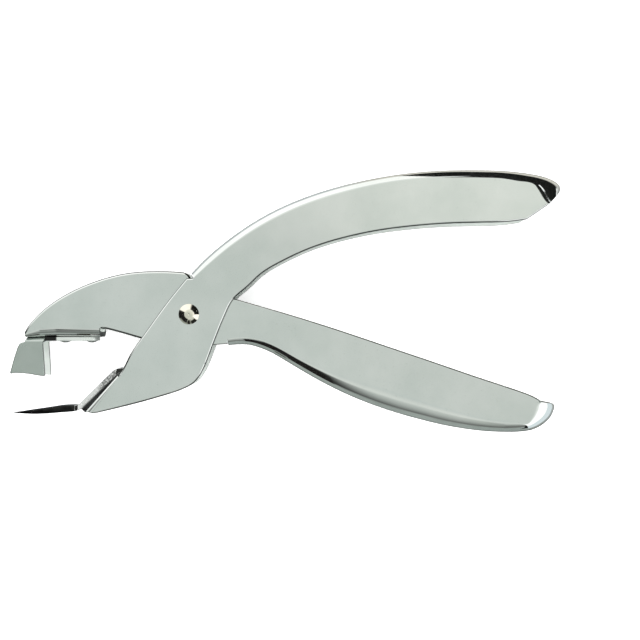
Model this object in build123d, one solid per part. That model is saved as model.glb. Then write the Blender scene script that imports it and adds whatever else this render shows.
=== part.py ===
from build123d import *
import math
import os

# Plier-type staple remover lying on its side. Millimetres, +Z up.
# The pivot axis is parallel to Z, the handles run towards +X, the jaws towards -X,
# and the upper handle is on the +Y side. All outlines below are measured from the
# pivot axis; PIVOT moves them so that the origin is under the middle of the tool.

PIVOT = (-28.63, -3.83)      # pivot axis in the part's frame

SHEET = 1.5                  # sheet thickness of both levers
HEAD_RISE = 1.0              # rivet head above the side plates
OUTER_W = 16.0               # outside width of the outer lever
SIDE_GAP = 0.25              # gap between the levers' plates, each side
Z0 = HEAD_RISE               # lower side plate of the outer lever
Z1 = Z0 + OUTER_W            # upper side plate
ZM = (Z0 + Z1) / 2           # middle plane
IZ0 = Z0 + SHEET + SIDE_GAP  # inner lever's outside faces
IZ1 = Z1 - SHEET - SIDE_GAP

BEND_TOP = 2.2               # outside bend radius, upper handle
BEND_SLANT = 1.9             # outside bend radius, slanted front of the lower jaw
BEND_GRIP = 2.8              # outside bend radius, lower handle
BEND_BEAK = 2.2              # outside bend radius, underside of the upper jaw

RIVET_R = 2.0                # rivet shank
RIVET_HEAD_R = 3.05
RIVET_SEAT_R = 3.3           # coined seat round the head
RIVET_SEAT_D = 0.15
RUN_FIT = 0.05               # radial running clearance on the shank
SLEEVE_R = 2.9

FOOT_W = 10.0                # presser foot outside width
FOOT_T = 1.2
FOOT_BEND = 1.6
FOOT_RIVETS = (-38.2, -30.2)
TONGUE_W = 6.6
TONGUE_T = 1.2
SMALL_RIVET_R = 1.1
SMALL_HEAD_R = 1.8

WIRE = 1.2                   # spring wire diameter
COIL_R = 3.9                 # mean coil radius
COIL_PITCH = 1.32
COIL_TURNS = 4
LEG_UP = 44.0                # direction of the leg under the upper handle's web
LEG_DOWN = -9.0              # direction of the leg over the lower handle's web
LEG_UP_LEN = 33.0
LEG_DOWN_LEN = 25.0

BEAK_FLOOR = -6.8            # underside of the upper jaw

# Outer lever: web of the upper handle and round its nose
O_WEB = [(0.60, 12.10), (4.0, 15.70), (8.8, 20.0), (14.2, 24.15), (20.8, 28.45),
         (28.0, 32.2), (37.6, 36.0), (47.2, 38.8), (56.8, 40.85), (66.4, 42.25),
         (76.0, 42.95), (85.6, 43.15), (95.2, 42.95), (102.4, 42.2), (107.0, 41.15),
         (109.78, 40.03), (110.93, 39.06), (111.44, 37.65), (111.28, 36.41), (110.6, 35.35),
         (109.5, 34.2), (108.3, 33.0)]
# open edge of the upper handle, over the crossing and down the rear of the lower jaw
O_OPEN = [(101.1, 28.5), (96.2, 27.85), (90.3, 27.55), (82.8, 27.4), (75.3, 27.1),
          (66.3, 26.35), (57.3, 25.2), (48.3, 23.4), (39.4, 20.9), (33.4, 18.6),
          (27.4, 15.7), (20.8, 11.6), (17.1, 8.1), (13.9, 4.3), (11.5, 0.4),
          (9.9, -3.2), (8.6, -6.6), (7.2, -10.0), (5.7, -13.8), (3.9, -17.6),
          (1.7, -20.3), (-0.9, -21.9), (-3.6, -23.0), (-8.0, -24.4), (-15.1, -26.4),
          (-21.7, -28.05), (-27.2, -29.35)]
O_TIP = [(-27.2, -29.35), (-29.6, -29.8), (-31.2, -29.5), (-32.6, -28.2)]
O_SLANT = [(-32.6, -28.2), (-21.9, -17.9)]
O_FREE = [(-21.9, -17.9), (-20.2, -16.4), (-17.5, -12.4), (-14.3, -8.0), (-11.5, -4.0),
          (-7.1, 1.8), (-0.1, 10.4)]

# Inner lever: web of the lower handle and round its nose
I_WEB = [(11.6, -9.3), (14.4, -9.05), (17.6, -9.15), (20.7, -9.95), (24.3, -11.45),
         (27.9, -13.5), (32.7, -16.4), (40.0, -20.55), (47.2, -24.1), (54.4, -27.05),
         (61.6, -29.5), (68.8, -31.55), (76.1, -33.3), (83.3, -34.55), (89.3, -35.25),
         (95.3, -35.5), (99.5, -35.35), (102.6, -34.85), (105.2, -33.75), (107.4, -32.1),
         (108.8, -30.2), (109.6, -28.4), (109.8, -27.3)]
I_NOSE_TOP = [(109.8, -27.3), (109.2, -26.7), (107.6, -26.25), (105.4, -25.7)]
I_OPEN = [(105.4, -25.7), (102.1, -24.2), (99.6, -23.25), (95.1, -21.75), (86.0, -18.75),
          (73.6, -14.5), (60.0, -9.9), (44.8, -4.8), (31.5, -0.6), (20.7, 2.55),
          (14.6, 4.3), (9.3, 5.8), (4.9, 7.15), (2.2, 8.5)]
I_NECK = [(2.2, 8.5), (0.85, 9.8), (0.2, 11.1)]
I_CORNER = [(0.2, 11.1), (-0.45, 12.0), (-2.1, 12.6)]
I_ARC = [(-2.1, 12.6), (-6.0, 12.85), (-11.0, 12.9), (-15.3, 12.7), (-19.7, 12.15),
         (-24.3, 11.1), (-29.1, 9.55), (-33.9, 7.55), (-38.7, 4.95), (-42.3, 2.5),
         (-44.9, 0.3), (-47.1, -2.0), (-48.4, -3.7), (-49.5, -5.5)]
I_LOW = [(-25.2, -4.55), (-24.0, -4.6), (-19.2, -5.95), (-14.5, -7.3), (-8.7, -8.55),
         (-1.2, -9.35), (5.5, -9.3), (11.6, -8.8)]

FOOT_SIDE = [(-50.7, -6.8), (-51.4, -8.3), (-52.5, -9.9), (-53.4, -13.6), (-54.2, -17.4),
             (-53.8, -17.9), (-53.1, -17.65), (-50.5, -17.7), (-48.0, -17.95),
             (-45.6, -18.4), (-43.5, -18.6), (-43.8, -14.0), (-44.2, -9.4), (-44.0, -8.7),
             (-43.2, -8.7), (-43.2, -6.8)]
FOOT_TAIL = -27.4            # rear end of the foot's plate


def at(p):
    return (p[0] + PIVOT[0], p[1] + PIVOT[1])


def curve(points):
    return Spline(*[at(p) for p in points])


def chain(points):
    pts = [at(p) for p in points]
    return [Line(a, b) for a, b in zip(pts[:-1], pts[1:])]


def slab(edges, z_low, z_high):
    face = make_face(Wire(edges))
    body = extrude(face, amount=z_high - z_low, dir=(0, 0, 1))
    return Pos(0, 0, z_low) * body


def halves(edge, x_cut):
    # split one spline where it crosses x = x_cut
    lo, hi = 0.0, 1.0
    rising = (edge @ 1).X > (edge @ 0).X
    for _ in range(60):
        mid = (lo + hi) / 2
        if ((edge @ mid).X < x_cut + PIVOT[0]) == rising:
            lo = mid
        else:
            hi = mid
    u = (lo + hi) / 2
    return edge.trim(0, u), edge.trim(u, 1), edge @ u


def offset_points(edge, dist, count):
    # points beside a spline, dist to its right as it is travelled
    out = []
    for i in range(count + 1):
        u = i / count
        p, t = edge @ u, edge % u
        out.append((p.X + t.Y * dist, p.Y - t.X * dist))
    return out


def along(solid, edge_points, z_values, tol=0.06):
    # the solid's edges that lie on a given plane curve at given heights
    found = []
    for e in solid.edges():
        m = e @ 0.5
        if not any(abs(m.Z - z) < 1e-3 and abs((e @ 0.1).Z - z) < 1e-3 for z in z_values):
            continue
        ok = True
        for u in (0.1, 0.5, 0.9):
            q = e @ u
            if min(math.hypot(q.X - x, q.Y - y) for x, y in edge_points) > tol:
                ok = False
        if ok:
            found.append(e)
    return found


def sample(edge, count=4000):
    return [((edge @ (i / count)).X, (edge @ (i / count)).Y) for i in range(count + 1)]


def bent_stock(web_edge, z_low, z_high, radius, side):
    # a deep block under a web curve whose two long edges are rounded like a bend;
    # side is +1 when the block lies to the right of the curve as it is travelled
    a0, a1, t0, t1 = web_edge @ 0, web_edge @ 1, web_edge % 0, web_edge % 1
    p0 = (a0.X - 6 * t0.X, a0.Y - 6 * t0.Y)
    p1 = (a1.X + 6 * t1.X, a1.Y + 6 * t1.Y)
    deep = -70 if side > 0 else 70
    block = slab([Line(p0, a0), web_edge, Line(a1, p1), Line(p1, (p1[0] - 10, deep)),
                  Line((p1[0] - 10, deep), (p0[0] + 12, deep)), Line((p0[0] + 12, deep), p0)],
                 z_low, z_high)
    line = sample(web_edge)
    line += [(a0.X - t0.X * k / 20, a0.Y - t0.Y * k / 20) for k in range(121)]
    line += [(a1.X + t1.X * k / 20, a1.Y + t1.Y * k / 20) for k in range(121)]
    return fillet(along(block, line, (z_low, z_high)), radius)


# ---------------------------------------------------------------- outer lever
web = curve(O_WEB)
opening = curve(O_OPEN)
handle_edge, rear_edge, D = halves(opening, 11.9)
jaw_rear_cut = -14.6
rear_edge_a, jaw_edge, D2 = halves(rear_edge, jaw_rear_cut)

# handle with its web, cut square at the web's end
handle = slab([web, Line(web @ 1, opening @ 0), handle_edge, Line(D, at((1.4, 10.0))),
               Line(at((1.4, 10.0)), web @ 0)], Z0, Z1)
handle = handle & bent_stock(web, Z0, Z1, BEND_TOP, 1)
inside = Spline(*offset_points(web, SHEET, 44))
handle = handle - bent_stock(inside, Z0 + SHEET, Z1 - SHEET, BEND_TOP - SHEET, 1)

# lower jaw with its slanted web
s0, s1 = at(O_SLANT[0]), at(O_SLANT[1])
slant_len = math.dist(s0, s1)
sx, sy = (s1[0] - s0[0]) / slant_len, (s1[1] - s0[1]) / slant_len
jaw = slab([Line(s0, s1), Line(s1, D2), jaw_edge, curve(O_TIP)], Z0, Z1)
stock = slab(chain([]) + [
    Line((s0[0] - 9 * sx, s0[1] - 9 * sy), (s1[0] + 9 * sx, s1[1] + 9 * sy)),
    Line((s1[0] + 9 * sx, s1[1] + 9 * sy), (s1[0] + 9 * sx + 30 * sy, s1[1] + 9 * sy - 30 * sx)),
    Line((s1[0] + 9 * sx + 30 * sy, s1[1] + 9 * sy - 30 * sx), (s0[0] - 9 * sx + 30 * sy, s0[1] - 9 * sy - 30 * sx)),
    Line((s0[0] - 9 * sx + 30 * sy, s0[1] - 9 * sy - 30 * sx), (s0[0] - 9 * sx, s0[1] - 9 * sy))], Z0, Z1)
line_pts = [(s0[0] + sx * t / 20, s0[1] + sy * t / 20) for t in range(-200, 500)]
stock = fillet(along(stock, line_pts, (Z0, Z1)), BEND_SLANT)
jaw = jaw & stock
q0 = (s0[0] - 9 * sx + SHEET * sy, s0[1] - 9 * sy - SHEET * sx)
q1 = (s1[0] + 9 * sx + SHEET * sy, s1[1] + 9 * sy - SHEET * sx)
q2 = (q1[0] + 30 * sy, q1[1] - 30 * sx)
q3 = (q0[0] + 30 * sy, q0[1] - 30 * sx)
jaw_hollow = slab([Line(q0, q1), Line(q1, q2), Line(q2, q3), Line(q3, q0)], Z0 + SHEET, Z1 - SHEET)
jaw = jaw - jaw_hollow

# flat plates over the crossing, where the web is cut away
m1 = (s1[0] + 2.2 * sy, s1[1] - 2.2 * sx)
m2 = (m1[0] - 3 * sx, m1[1] - 3 * sy)
m3 = (D2.X - 3 * sx - 1.5 * sy, D2.Y - 3 * sy + 1.5 * sx)
free = curve(O_FREE)
plate_edges = [rear_edge_a, Line(D2, m3), Line(m3, m2), Line(m2, m1), Line(m1, s1), free,
               Line(free @ 1, at((1.55, 9.75))), Line(at((1.55, 9.75)), at((9.0, 14.2))),
               Line(at((9.0, 14.2)), at((14.2, 8.0))), Line(at((14.2, 8.0)), D)]
outer_lever = handle + jaw
for z in (Z0, Z1 - SHEET):
    outer_lever = outer_lever + slab(plate_edges, z, z + SHEET)

px, py = PIVOT
outer_lever = outer_lever - Pos(px, py, 0) * Cylinder(RIVET_R, 60)
for z in (Z0, Z1):
    outer_lever = outer_lever - Pos(px, py, z) * Cylinder(RIVET_SEAT_R, 2 * RIVET_SEAT_D)

# ---------------------------------------------------------------- inner lever
grip_web = curve(I_WEB)
grip_open = curve(I_OPEN)
grip_edge, neck_edge, G = halves(grip_open, 11.6)
grip = slab([grip_web, curve(I_NOSE_TOP), grip_edge, Line(G, grip_web @ 0)], IZ0, IZ1)
grip = grip & bent_stock(grip_web, IZ0, IZ1, BEND_GRIP, -1)
ginside = Spline(*offset_points(grip_web, -SHEET, 44))
grip = grip - bent_stock(ginside, IZ0 + SHEET, IZ1 - SHEET, BEND_GRIP - SHEET, -1)

arc = curve(I_ARC)
arc_rear, arc_front, A = halves(arc, -25.2)
tip = at((-49.5, -5.5))
beak = slab([arc_front, Line(tip, at((-49.6, -6.2))), Line(at((-49.6, -6.2)), at((-49.1, BEAK_FLOOR))),
             Line(at((-49.1, BEAK_FLOOR)), at((-25.2, BEAK_FLOOR))), Line(at((-25.2, BEAK_FLOOR)), A)],
            IZ0, IZ1)
floor_y = BEAK_FLOOR + py
beak_stock = Pos(px - 40, floor_y + 15, ZM) * Box(60, 30, IZ1 - IZ0)
beak_stock = fillet([e for e in beak_stock.edges()
                     if abs((e @ 0.5).Y - floor_y) < 1e-3 and abs((e % 0.5).X) > 0.99], BEND_BEAK)
beak = beak & beak_stock
beak_hollow = Pos(px - 40, floor_y + SHEET + 15, ZM) * Box(60, 30, IZ1 - IZ0 - 2 * SHEET)
beak_hollow = fillet([e for e in beak_hollow.edges()
                      if abs((e @ 0.5).Y - floor_y - SHEET) < 1e-3 and abs((e % 0.5).X) > 0.99],
                     BEND_BEAK - SHEET)
beak = beak - beak_hollow

low = curve(I_LOW)
cross_edges = [neck_edge, curve(I_NECK), Spline(*[at(p) for p in I_CORNER]), arc_rear,
               Line(A, at((-28.5, 6.5))), Line(at((-28.5, 6.5)), at((-28.5, -3.9))),
               Line(at((-28.5, -3.9)), at((-25.2, -3.9))), Line(at((-25.2, -3.9)), low @ 0), low,
               Line(low @ 1, at((11.6, -5.9))), Line(at((11.6, -5.9)), at((15.0, -5.9))),
               Line(at((15.0, -5.9)), at((15.0, 2.4))), Line(at((15.0, 2.4)), G)]
inner_lever = grip + beak
for z in (IZ0, IZ1 - SHEET):
    inner_lever = inner_lever + slab(cross_edges, z, z + SHEET)
inner_lever = inner_lever - Pos(px, py, 0) * Cylinder(RIVET_R + RUN_FIT, 60)

# ---------------------------------------------------------------- pivot rivet and sleeve
head_h = HEAD_RISE + RIVET_SEAT_D
ball_r = (RIVET_HEAD_R ** 2 + head_h ** 2) / (2 * head_h)
shank = Pos(px, py, ZM) * Cylinder(RIVET_R, Z1 - Z0 - 2 * RIVET_SEAT_D)
head_up = (Pos(px, py, Z1 + HEAD_RISE - ball_r) * Sphere(ball_r)) & \
          (Pos(px, py, Z1 - RIVET_SEAT_D + 5) * Cylinder(20, 10))
head_dn = (Pos(px, py, ball_r) * Sphere(ball_r)) & \
          (Pos(px, py, Z0 + RIVET_SEAT_D - 5) * Cylinder(20, 10))
pivot_rivet = shank + head_up + head_dn
# the setting tool leaves a small dimple in the upper head
pivot_rivet = pivot_rivet - Pos(px, py, Z1 + HEAD_RISE + 0.25) * Sphere(0.5)

pivot_sleeve = Pos(px, py, ZM) * (Cylinder(SLEEVE_R, IZ1 - IZ0 - 2 * SHEET)
                                  - Cylinder(RIVET_R + RUN_FIT, 40))

# ---------------------------------------------------------------- return spring
phi0 = LEG_UP + 90.0
phi1 = LEG_DOWN - 90.0
sweep = (phi1 - phi0) % 360.0 + 360.0 * COIL_TURNS
rise = COIL_PITCH * sweep / 360.0
za = ZM - rise / 2
zb = ZM + rise / 2


def polar(r, deg, z):
    a = math.radians(deg)
    return Vector(px + r * math.cos(a), py + r * math.sin(a), z)


coil = Helix(pitch=COIL_PITCH, height=rise, radius=COIL_R, center=(0, 0, 0))
coil = Pos(px, py, za) * (Rot(0, 0, phi0) * coil)
start, end = polar(COIL_R, phi0, za), polar(COIL_R, phi1, zb)
up = Vector(math.cos(math.radians(LEG_UP)), math.sin(math.radians(LEG_UP)), 0)
dn = Vector(math.cos(math.radians(LEG_DOWN)), math.sin(math.radians(LEG_DOWN)), 0)
section = Wire.make_circle(WIRE / 2, Plane(origin=start, z_dir=coil % 0))
coil_body = Solid.sweep(section, path=coil, is_frenet=True)
# each leg starts a little way back inside the coil's end, a hair thinner than the wire
back = 0.45
leg_r = WIRE / 2 - 0.005
leg_a = Solid.make_cylinder(leg_r, LEG_UP_LEN + back, Plane(origin=start - up * back, z_dir=up))
leg_b = Solid.make_cylinder(leg_r, LEG_DOWN_LEN + back, Plane(origin=end - dn * back, z_dir=dn))
return_spring = (Part() + coil_body) + leg_a + leg_b

# ---------------------------------------------------------------- presser foot
foot_top = BEAK_FLOOR + py
foot_z0, foot_z1 = ZM - FOOT_W / 2, ZM + FOOT_W / 2
fx0, fx1 = px - 56.0, px - 43.2
foot_stock = Pos((fx0 + fx1) / 2, foot_top - 8, ZM) * Box(fx1 - fx0, 16, FOOT_W)
foot_stock = fillet([e for e in foot_stock.edges()
                     if abs((e @ 0.5).Y - foot_top) < 1e-3 and abs((e % 0.5).X) > 0.99], FOOT_BEND)
foot_cavity = Pos((fx0 + fx1) / 2, foot_top - FOOT_T - 8, ZM) * Box(fx1 - fx0 + 4, 16, FOOT_W - 2 * FOOT_T)
foot_cavity = fillet([e for e in foot_cavity.edges()
                      if abs((e @ 0.5).Y - foot_top + FOOT_T) < 1e-3 and abs((e % 0.5).X) > 0.99],
                     FOOT_BEND - FOOT_T)
foot_side = slab(chain(FOOT_SIDE + [FOOT_SIDE[0]]), 0, 20)
presser_foot = (foot_stock - foot_cavity) & foot_side
tail_len = FOOT_TAIL + 43.2
foot_tail = Pos(px - 43.2 + tail_len / 2 - 0.5, foot_top - FOOT_T / 2, ZM) * \
    Box(tail_len + 1.0, FOOT_T, FOOT_W - 1.2)
foot_tail = fillet([e for e in foot_tail.edges()
                    if abs((e @ 0.5).X - (px + FOOT_TAIL)) < 1e-3 and abs((e % 0.5).Y) > 0.99], 1.2)
presser_foot = presser_foot + foot_tail


def small_rivet(x, y, grip_len, angle, head_low, head_high):
    # rivet along +Y before turning; y = 0 is the lower face of the riveted stack
    body = Rot(-90, 0, 0) * (Pos(0, 0, grip_len / 2) * Cylinder(SMALL_RIVET_R, grip_len))
    for h, base, sign in ((head_low, 0.0, -1), (head_high, grip_len, 1)):
        br = (SMALL_HEAD_R ** 2 + h ** 2) / (2 * h)
        ball = Pos(0, base + sign * (h - br), 0) * Sphere(br)
        half = Pos(0, base + sign * 5, 0) * Box(20, 10, 20)
        body = body + (ball & half)
    return Pos(x, y, ZM) * (Rot(0, 0, angle) * body)


stack = FOOT_T + SHEET
foot_rivets = []
for fx in FOOT_RIVETS:
    cut = Pos(px + fx, foot_top, ZM) * (Rot(90, 0, 0) * Cylinder(SMALL_RIVET_R, 8))
    presser_foot = presser_foot - cut
    inner_lever = inner_lever - cut
    foot_rivets.append(small_rivet(px + fx, foot_top - FOOT_T, stack, 0, 0.55, 0.6))

# ---------------------------------------------------------------- lifting tongue
T_OFF = TONGUE_T
n = (-sy, sx)                                # outward normal of the slanted web
w0, w1 = s0, s1
top_end = at((-20.1, -16.45))
a_top = (w1[0] + n[0] * T_OFF, w1[1] + n[1] * T_OFF)
hook_y = top_end[1]
k = (hook_y - a_top[1]) / sy
corner = (a_top[0] + sx * k, hook_y)         # where the slanted face meets the hook's top
root_top = at((-34.9, -27.42))
k2 = (root_top[1] - a_top[1]) / sy
root_corner = (a_top[0] + sx * k2, root_top[1])
TONGUE_TOP = [(-36.0, -27.42), (-38.6, -27.5), (-43.1, -27.98), (-47.9, -28.7), (-53.3, -29.55)]
TONGUE_LOW = [(-53.5, -29.85), (-50.4, -30.1), (-45.5, -29.95), (-40.7, -29.62), (-35.6, -29.3)]
upper = curve(TONGUE_TOP)
lower = curve(TONGUE_LOW)
# underside of the slanted part lies on the jaw's web
u0 = (w0[0] - 0.35 * sx, w0[1] - 0.35 * sy)
u1 = (w1[0] + 0.25 * sx, w1[1] + 0.25 * sy)
hook_low = (top_end[0], top_end[1] - TONGUE_T)
profile = [Line(top_end, corner), Line(corner, root_corner), Line(root_corner, upper @ 0), upper,
           Line(upper @ 1, lower @ 0), lower, Line(lower @ 1, u0), Line(u0, u1),
           Line(u1, (u1[0] + 0.6, hook_low[1])), Line((u1[0] + 0.6, hook_low[1]), hook_low),
           Line(hook_low, top_end)]
tz0, tz1 = ZM - TONGUE_W / 2, ZM + TONGUE_W / 2
lifting_tongue = slab(profile, tz0, tz1)


def z_edge_near(solid, p):
    return [e for e in solid.edges()
            if abs((e % 0.5).Z) > 0.99 and math.hypot((e @ 0.5).X - p[0], (e @ 0.5).Y - p[1]) < 0.02]


lifting_tongue = fillet(z_edge_near(lifting_tongue, corner), 1.6)
lifting_tongue = fillet(z_edge_near(lifting_tongue, root_corner), 1.0)
# spearhead in plan: parallel root, then a taper to a narrow rounded end
tipx = px - 53.75
plan = [(px - 18.0, ZM - TONGUE_W / 2 - 1), (px - 18.0, ZM + TONGUE_W / 2 + 1),
        (px - 38.5, ZM + TONGUE_W / 2 + 1), (px - 38.5, ZM + TONGUE_W / 2),
        (px - 42.5, ZM + TONGUE_W / 2 - 0.25), (px - 48.5, ZM + 2.3), (px - 52.3, ZM + 1.35),
        (tipx, ZM + 0.55), (tipx, ZM - 0.55), (px - 52.3, ZM - 1.35), (px - 48.5, ZM - 2.3),
        (px - 42.5, ZM - TONGUE_W / 2 + 0.25), (px - 38.5, ZM - TONGUE_W / 2),
        (px - 38.5, ZM - TONGUE_W / 2 - 1)]
plan_pts = [Vector(x, 0, z) for x, z in plan]
plan_wire = Wire([Edge.make_line(a, b) for a, b in zip(plan_pts, plan_pts[1:] + plan_pts[:1])])
plan_face = Face(plan_wire)
plan_solid = extrude(plan_face, amount=80, dir=(0, 1, 0))
lifting_tongue = lifting_tongue & (Pos(0, -60, 0) * plan_solid)

tongue_rivets = []
slant_angle = math.degrees(math.atan2(sx, -sy)) - 90
for s in (4.6, 10.4):
    cx, cy = w1[0] - sx * s, w1[1] - sy * s
    cut = Pos(cx, cy, ZM) * (Rot(0, 0, slant_angle) * (Rot(90, 0, 0) * Cylinder(SMALL_RIVET_R, 9)))
    lifting_tongue = lifting_tongue - cut
    outer_lever = outer_lever - cut
    base = (cx - n[0] * SHEET, cy - n[1] * SHEET)
    tongue_rivets.append(small_rivet(base[0], base[1], SHEET + TONGUE_T, slant_angle, 0.5, 0.4))

parts = {
    "outer_lever": outer_lever,
    "inner_lever": inner_lever,
    "pivot_rivet": pivot_rivet,
    "pivot_sleeve": pivot_sleeve,
    "return_spring": return_spring,
    "presser_foot": presser_foot,
    "foot_rivet_front": foot_rivets[0],
    "foot_rivet_rear": foot_rivets[1],
    "lifting_tongue": lifting_tongue,
    "tongue_rivet_upper": tongue_rivets[0],
    "tongue_rivet_lower": tongue_rivets[1],
}
os.makedirs("parts", exist_ok=True)
low_c, high_c = [1e9] * 3, [-1e9] * 3
for name, shape in parts.items():
    solids = shape.solids()
    box = shape.bounding_box()
    for i, (a, b) in enumerate(((box.min.X, box.max.X), (box.min.Y, box.max.Y), (box.min.Z, box.max.Z))):
        low_c[i] = min(low_c[i], a)
        high_c[i] = max(high_c[i], b)
    print(name, len(solids), "solid(s)", round(sum(s.volume for s in solids), 2), "mm3",
          shape.is_valid, [round(v, 2) for v in (box.min.X, box.max.X, box.min.Y, box.max.Y, box.min.Z, box.max.Z)])
    export_step(shape, "parts/" + name + ".step")
print("box", [round(v, 3) for v in low_c], [round(v, 3) for v in high_c],
      "centre", round((low_c[0] + high_c[0]) / 2, 3), round((low_c[1] + high_c[1]) / 2, 3))
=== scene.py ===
import math

import bmesh
import bpy
import numpy as np
from mathutils import Matrix, Vector


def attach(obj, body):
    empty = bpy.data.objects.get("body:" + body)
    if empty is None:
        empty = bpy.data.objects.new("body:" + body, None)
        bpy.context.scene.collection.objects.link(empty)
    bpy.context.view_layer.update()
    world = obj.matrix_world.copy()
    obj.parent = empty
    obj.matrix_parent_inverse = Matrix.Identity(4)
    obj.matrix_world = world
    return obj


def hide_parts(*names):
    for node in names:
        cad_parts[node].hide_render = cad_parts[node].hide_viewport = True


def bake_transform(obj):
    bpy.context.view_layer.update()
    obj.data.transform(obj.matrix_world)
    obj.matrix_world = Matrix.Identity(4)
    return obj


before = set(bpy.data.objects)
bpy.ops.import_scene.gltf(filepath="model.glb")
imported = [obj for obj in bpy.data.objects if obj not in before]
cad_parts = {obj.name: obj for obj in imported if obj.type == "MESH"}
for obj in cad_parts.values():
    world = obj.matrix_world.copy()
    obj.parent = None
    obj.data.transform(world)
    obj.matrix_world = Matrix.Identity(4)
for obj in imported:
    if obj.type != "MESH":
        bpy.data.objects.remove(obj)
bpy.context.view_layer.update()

# ------------------------------------------------------------------ frame (millimetres, from the CAD)
PX, PY = -28.63, -3.83           # pivot axis
Z0, Z1 = 1.0, 17.0               # outside faces of the outer lever
ZM = 9.0
SHEET = 1.5
IZ0, IZ1 = 2.75, 15.25           # outside faces of the inner lever
FLOOR_Y = -6.8                   # underside of the upper jaw, from the pivot


EYE = (39.05, -1.72)             # the point under the camera, from the pivot


def P3(x, y, z):
    return Vector(((x + PX) / 1000.0, (y + PY) / 1000.0, z / 1000.0))


# ------------------------------------------------------------------ plane curves
def cubic(points, step=0.4):
    """Natural cubic spline through the points, resampled at an even spacing."""
    p = np.array(points, float)
    t = np.concatenate([[0], np.cumsum(np.hypot(*np.diff(p, axis=0).T))])
    n = len(t)
    if n == 2:
        dense = p
    else:
        h = np.diff(t)
        a = np.zeros((n, n))
        r = np.zeros((n, 2))
        a[0, 0] = a[-1, -1] = 1
        for i in range(1, n - 1):
            a[i, i - 1], a[i, i], a[i, i + 1] = h[i - 1], 2 * (h[i - 1] + h[i]), h[i]
            r[i] = 6 * ((p[i + 1] - p[i]) / h[i] - (p[i] - p[i - 1]) / h[i - 1])
        m = np.linalg.solve(a, r)
        out = []
        for i in range(n - 1):
            k = max(2, int(h[i] / 0.05))
            u = np.linspace(t[i], t[i + 1], k, endpoint=False)[:, None]
            A, B = (t[i + 1] - u) / h[i], (u - t[i]) / h[i]
            out.append(A * p[i] + B * p[i + 1] + ((A ** 3 - A) * m[i] + (B ** 3 - B) * m[i + 1]) * h[i] ** 2 / 6)
        dense = np.vstack(out + [p[-1:]])
    return even(dense, step)


def even(poly, step):
    s = np.concatenate([[0], np.cumsum(np.hypot(*np.diff(poly, axis=0).T))])
    k = max(2, int(round(s[-1] / step)) + 1)
    u = np.linspace(0, s[-1], k)
    return np.stack([np.interp(u, s, poly[:, 0]), np.interp(u, s, poly[:, 1])], 1)


def arclen(poly):
    return np.concatenate([[0], np.cumsum(np.hypot(*np.diff(poly, axis=0).T))])


def inset(poly, radius, side):
    """Points beside a curve; radius may vary along it. side +1 is the right-hand side."""
    d = np.gradient(poly, axis=0)
    d /= np.hypot(d[:, 0], d[:, 1])[:, None]
    nrm = np.stack([d[:, 1], -d[:, 0]], 1) * side
    return poly + nrm * np.asarray(radius).reshape(-1, 1)


def stations(poly, table):
    """A value along a curve from (x, value) pairs in order of travel."""
    s = arclen(poly)
    knots = []
    for x, v in table:
        i = int(np.argmin(abs(poly[:, 0] - x)))
        knots.append((s[i], v))
    knots.sort()
    k = np.array(knots)
    return np.interp(s, k[:, 0], k[:, 1])


# ------------------------------------------------------------------ meshes
def new_object(name, verts, faces, smooth=True):
    me = bpy.data.meshes.new(name)
    me.from_pydata([tuple(v) for v in verts], [], faces)
    me.update()
    ob = bpy.data.objects.new(name, me)
    bpy.context.scene.collection.objects.link(ob)
    if smooth:
        me.polygons.foreach_set("use_smooth", [True] * len(me.polygons))
    return ob


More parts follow.
